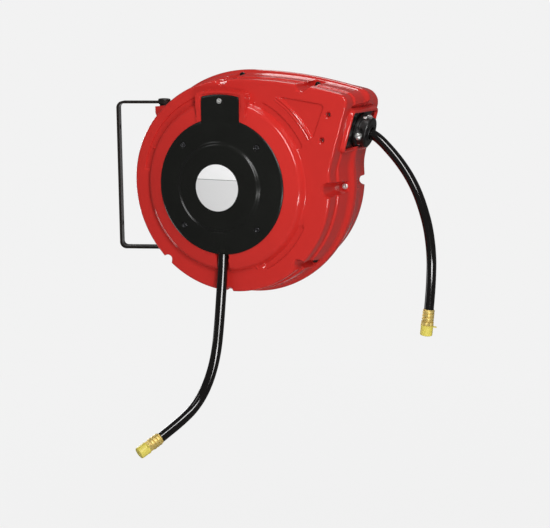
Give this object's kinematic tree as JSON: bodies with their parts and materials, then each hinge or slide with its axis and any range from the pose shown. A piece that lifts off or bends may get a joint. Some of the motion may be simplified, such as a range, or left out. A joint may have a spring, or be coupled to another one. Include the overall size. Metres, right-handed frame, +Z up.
{
  "type": "retractable hose reel",
  "caption": "Wall-hung spring-return hose reel: closed two-half round case with roller mouth, front inlet swivel and U bracket it swings on.",
  "frame": {"origin": "centre of the two wall-fixing holes, on the bracket's wall face", "axes": "+X straight away from the wall, +Z up along the swing axis; the case's cover faces -Y at rest"},
  "size_m": [0.5197, 0.318, 0.5881],
  "materials": {
    "bracket_paint": "satin black paint",
    "case_red": "moulded satin",
    "cover_black": "moulded satin",
    "black_plastic": "fine moulded grain",
    "hose_black": "smooth gloss",
    "label": "printed plate",
    "zinc": "zinc plated",
    "brass": "turned",
    "cap_yellow": "soft translucent",
    "bush_white": "acetal",
    "drum_grey": "moulded",
    "seal_black": "matt",
    "spring_steel": "blued strip"
  },
  "bodies": {
    "bracket": {"wall_bracket": "bracket_paint", "pivot_pins": "bracket_paint", "pivot_washers": "bracket_paint"},
    "case": {"pivot_bushes": "bush_white", "front_shell": "case_red", "rear_shell": "case_red", "case_screws": "zinc", "front_cover": "cover_black", "cover_screws": "zinc", "label_disc": "label", "axle_plate": "bracket_paint", "axle_screws": "zinc", "drum_axle": "zinc", "spring_arbor": "zinc", "axle_clip": "zinc", "spindle_bearing": "bush_white", "inlet_elbow": "brass", "inlet_clamp": "zinc", "inlet_lead": "hose_black", "inlet_hose": "hose_black", "inlet_ferrule": "brass", "inlet_fitting": "brass", "guide_plate": "black_plastic", "roller_pins": "zinc", "hose_lead": "hose_black", "stop_front": "black_plastic", "stop_back": "black_plastic", "stop_screws": "zinc", "stop_nuts": "zinc", "outlet_hose": "hose_black", "outlet_ferrule": "brass", "outlet_fitting": "brass", "pawl_pin": "zinc", "pawl_spring": "spring_steel"},
    "drum": {"drum_front": "drum_grey", "drum_core": "drum_grey", "drum_rear": "drum_grey", "drum_screws": "zinc", "drum_bush": "bush_white", "spindle": "brass", "spindle_seals": "seal_black", "spindle_clip": "zinc", "drum_elbow": "brass", "hose_tail": "hose_black", "wound_hose": "hose_black", "spring_lid": "drum_grey", "lid_screws": "zinc", "power_spring": "spring_steel"},
    "roller_above": {"upper_roller": "black_plastic"},
    "roller_below": {"lower_roller": "black_plastic"},
    "pawl": {"latch_pawl": "zinc"},
    "supply_cap": {"inlet_cap": "cap_yellow"},
    "delivery_cap": {"outlet_cap": "cap_yellow"}
  },
  "joints": [
    {"name": "case_swing", "type": "hinge", "parent": "bracket", "child": "case", "pos_m": [0.078, 0, 0], "axis": [0, 0, 1], "range_deg": [-40, 80]},
    {"name": "drum_spin", "type": "hinge", "parent": "case", "child": "drum", "pos_m": [0.21895, -0.0513, -0.002], "axis": [0.342, 0.9397, 0], "range_deg": [0, 8460]},
    {"name": "pawl_rock", "type": "hinge", "parent": "case", "child": "pawl", "pos_m": [0.19049, 0.01599, -0.09559], "axis": [0.342, 0.9397, 0], "range_deg": [0, 9], "stiffness_Nm_per_rad": 0.05},
    {"name": "upper_roller_spin", "type": "hinge", "parent": "case", "child": "roller_above", "pos_m": [0.37767, -0.10907, 0.11077], "axis": [0.342, 0.9397, 0], "continuous": true},
    {"name": "lower_roller_spin", "type": "hinge", "parent": "case", "child": "roller_below", "pos_m": [0.36827, -0.10565, 0.07307], "axis": [0.342, 0.9397, 0], "continuous": true},
    {"name": "inlet_cap_pull", "type": "slide", "parent": "case", "child": "supply_cap", "axis": [-0.7043, -0.5704, -0.4226], "range_m": [0, 0.02]},
    {"name": "outlet_cap_pull", "type": "slide", "parent": "case", "child": "delivery_cap", "axis": [-0.0819, 0.0298, -0.9962], "range_m": [0, 0.02]}
  ]
}
